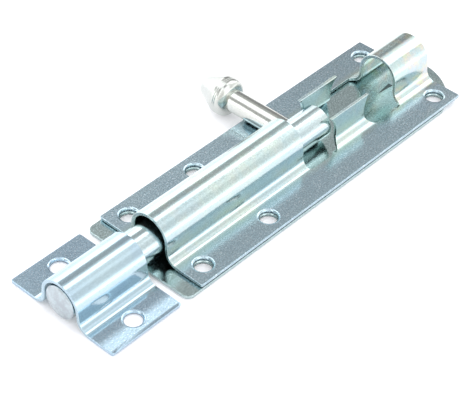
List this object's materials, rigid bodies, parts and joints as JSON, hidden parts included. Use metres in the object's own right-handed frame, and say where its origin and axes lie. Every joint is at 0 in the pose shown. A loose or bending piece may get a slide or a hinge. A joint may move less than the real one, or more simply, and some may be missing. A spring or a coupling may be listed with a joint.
{
  "type": "barrel bolt",
  "caption": "Surface-mounted barrel bolt of pressed zinc-plated sheet: a round rod with a side knob slides in an arched housing into a separate arched keep.",
  "frame": {"origin": "middle of the barrel plate, on the back plate's underside, which is the face that is screwed to the door", "axes": "+X along the rod, from the keep to the rear hoop; +Y to the side that the knob lies on; +Z away from the door"},
  "size_m": [0.2037, 0.0745, 0.0199],
  "materials": {
    "back_zinc": "bright zinc plate on rolled steel sheet",
    "sheet_zinc": "bright zinc plate on rolled steel sheet, slightly mottled",
    "keep_zinc": "bright zinc plate on rolled steel sheet",
    "rod_zinc": "bright zinc plate on drawn steel bar",
    "knob_zinc": "polished zinc plate with a faint yellow tint"
  },
  "bodies": {
    "housing": {"barrel_plate": "sheet_zinc", "back_plate": "back_zinc"},
    "bolt": {"bolt_rod": "rod_zinc"},
    "knob": {"knob_pin": "knob_zinc", "knob_head": "knob_zinc"},
    "keep": {"keep": "keep_zinc"}
  },
  "joints": [
    {"name": "bolt_slide", "type": "slide", "parent": "housing", "child": "bolt", "axis": [1, 0, 0], "range_m": [-0.001, 0.0082]},
    {"name": "knob_turn", "type": "hinge", "parent": "bolt", "child": "knob", "pos_m": [0.0043, 0, 0.00865], "axis": [1, 0, 0], "range_deg": [0, 180]},
    {"name": "keep_slide", "type": "slide", "parent": "housing", "child": "keep", "axis": [-1, 0, 0], "range_m": [0, 0.05]}
  ]
}
